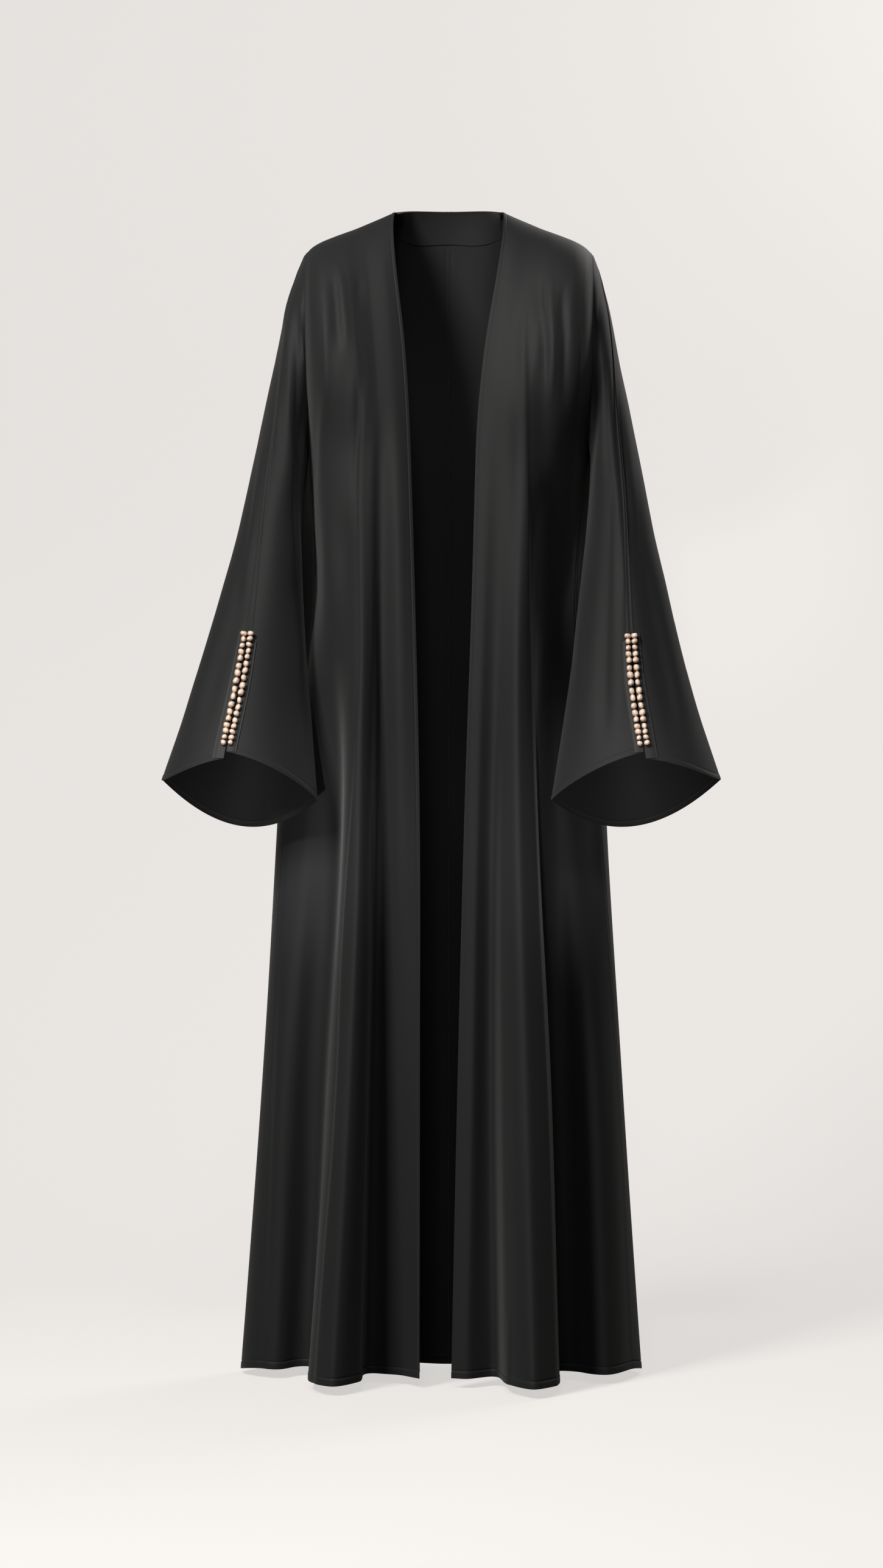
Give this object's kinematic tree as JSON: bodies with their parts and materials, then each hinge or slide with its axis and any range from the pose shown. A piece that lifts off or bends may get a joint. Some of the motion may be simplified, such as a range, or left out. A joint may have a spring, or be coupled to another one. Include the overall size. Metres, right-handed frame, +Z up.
{
  "type": "open-front abaya cloak, filled out as worn with no wearer",
  "caption": "Long black open-front abaya cloak with wide slit sleeves edged in pearls, hollow and hanging as if worn.",
  "frame": {"origin": "midway between the two neck points, where the shoulder seams reach the neck", "axes": "+Z up; the front faces -Y; +X points to the wearer's left"},
  "size_m": [0.698, 0.328, 1.4842],
  "materials": {
    "black_crepe": "matte crepe with a faint sheen",
    "black_binding": "turned and pressed crepe",
    "pearl": "soft pearl lustre"
  },
  "bodies": {
    "root": {"front_right": "black_crepe", "back_right": "black_crepe", "front_left": "black_crepe", "back_left": "black_crepe", "sleeve_right_front": "black_crepe", "sleeve_right_back": "black_crepe", "sleeve_left_front": "black_crepe", "sleeve_left_back": "black_crepe", "neck_facing": "black_binding", "slit_band_right_front": "black_binding", "slit_band_right_back": "black_binding", "slit_band_left_front": "black_binding", "slit_band_left_back": "black_binding", "pearl_row_right_front": "pearl", "pearl_row_right_back": "pearl", "pearl_row_left_front": "pearl", "pearl_row_left_back": "pearl"}
  },
  "joints": []
}
